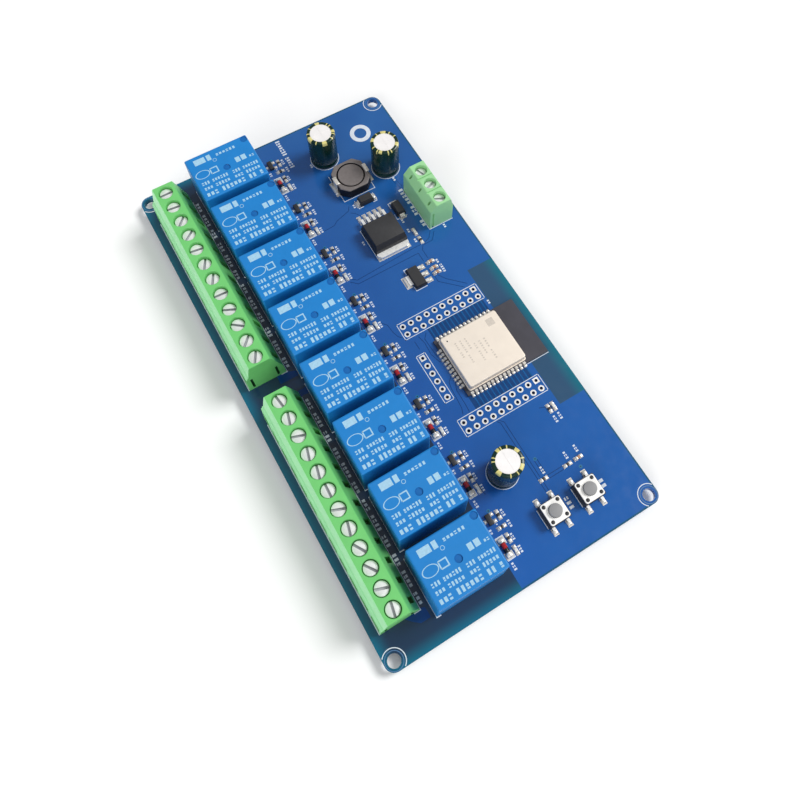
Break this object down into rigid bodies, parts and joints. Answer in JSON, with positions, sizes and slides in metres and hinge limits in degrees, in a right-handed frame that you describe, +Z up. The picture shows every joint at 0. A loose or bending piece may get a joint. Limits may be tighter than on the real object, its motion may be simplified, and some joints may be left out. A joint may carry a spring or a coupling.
{
  "type": "relay module board",
  "caption": "Circuit board with a row of sealed relays between two screw terminal blocks and their drivers, with a radio module, power supply and push buttons",
  "frame": {"origin": "Centre of the board in plan, at the ends of its trimmed pins, which it stands on", "axes": "+X along the board towards the push buttons, +Y across it from the output terminals to the radio's aerial, +Z up out of the component side"},
  "size_m": [0.1474, 0.0792, 0.0186],
  "materials": {
    "board_mask": "glass-fibre board with blue solder mask",
    "relay_blue": "moulded",
    "terminal_green": "moulded",
    "plated_steel": "nickel plated",
    "tinned_copper": "tinned",
    "can_aluminium": "drawn",
    "sleeve_green": "shrunk film",
    "ferrite": "sintered ferrite",
    "winding_copper": "enamelled wire",
    "package_black": "moulded epoxy",
    "shield_metal": "tin plated sheet",
    "radio_black": "black solder mask",
    "plunger_grey": "moulded",
    "chip_ceramic": "ceramic",
    "capacitor_ceramic": "ceramic",
    "lamp_white": "clear resin on white",
    "diode_glass": "sealed glass"
  },
  "bodies": {
    "board": {"button_1_base": "package_black", "button_1_cover": "shield_metal", "button_1_dome": "plated_steel", "button_1_legs": "plated_steel", "button_2_base": "package_black", "button_2_cover": "shield_metal", "button_2_dome": "plated_steel", "button_2_legs": "plated_steel", "capacitor_can_1": "can_aluminium", "capacitor_can_2": "can_aluminium", "capacitor_can_3": "can_aluminium", "capacitor_leads": "tinned_copper", "capacitor_sleeve_1": "sleeve_green", "capacitor_sleeve_2": "sleeve_green", "capacitor_sleeve_3": "sleeve_green", "chip_capacitors": "capacitor_ceramic", "circuit_board": "board_mask", "flyback_diode_ends": "tinned_copper", "flyback_diode_glass": "diode_glass", "inductor_drum": "ferrite", "inductor_feet": "tinned_copper", "inductor_shield": "ferrite", "inductor_winding": "winding_copper", "output_cages": "plated_steel", "output_pins": "tinned_copper", "output_screws_1": "plated_steel", "output_screws_2": "plated_steel", "output_terminal_1": "terminal_green", "output_terminal_2": "terminal_green", "power_cages": "plated_steel", "power_diode_bodies": "package_black", "power_diode_leads": "tinned_copper", "power_pins": "tinned_copper", "power_screws": "plated_steel", "power_terminal": "terminal_green", "radio_board": "radio_black", "radio_shield": "shield_metal", "regulator_body": "package_black", "regulator_leads": "tinned_copper", "regulator_tab": "tinned_copper", "relay_1": "relay_blue", "relay_2": "relay_blue", "relay_3": "relay_blue", "relay_4": "relay_blue", "relay_5": "relay_blue", "relay_6": "relay_blue", "relay_7": "relay_blue", "relay_8": "relay_blue", "relay_pins": "tinned_copper", "resistors": "chip_ceramic", "small_regulator_body": "package_black", "small_regulator_leads": "tinned_copper", "status_leds": "lamp_white", "transistor_bodies": "package_black", "transistor_leads": "tinned_copper"},
    "button_1": {"button_1_plunger": "plunger_grey"},
    "button_2": {"button_2_plunger": "plunger_grey"}
  },
  "joints": [
    {"name": "button_1_press", "type": "slide", "parent": "board", "child": "button_1", "axis": [0, 0, -1], "range_m": [0, 0.00025], "stiffness_N_per_m": 6000},
    {"name": "button_2_press", "type": "slide", "parent": "board", "child": "button_2", "axis": [0, 0, -1], "range_m": [0, 0.00025], "stiffness_N_per_m": 6000}
  ]
}
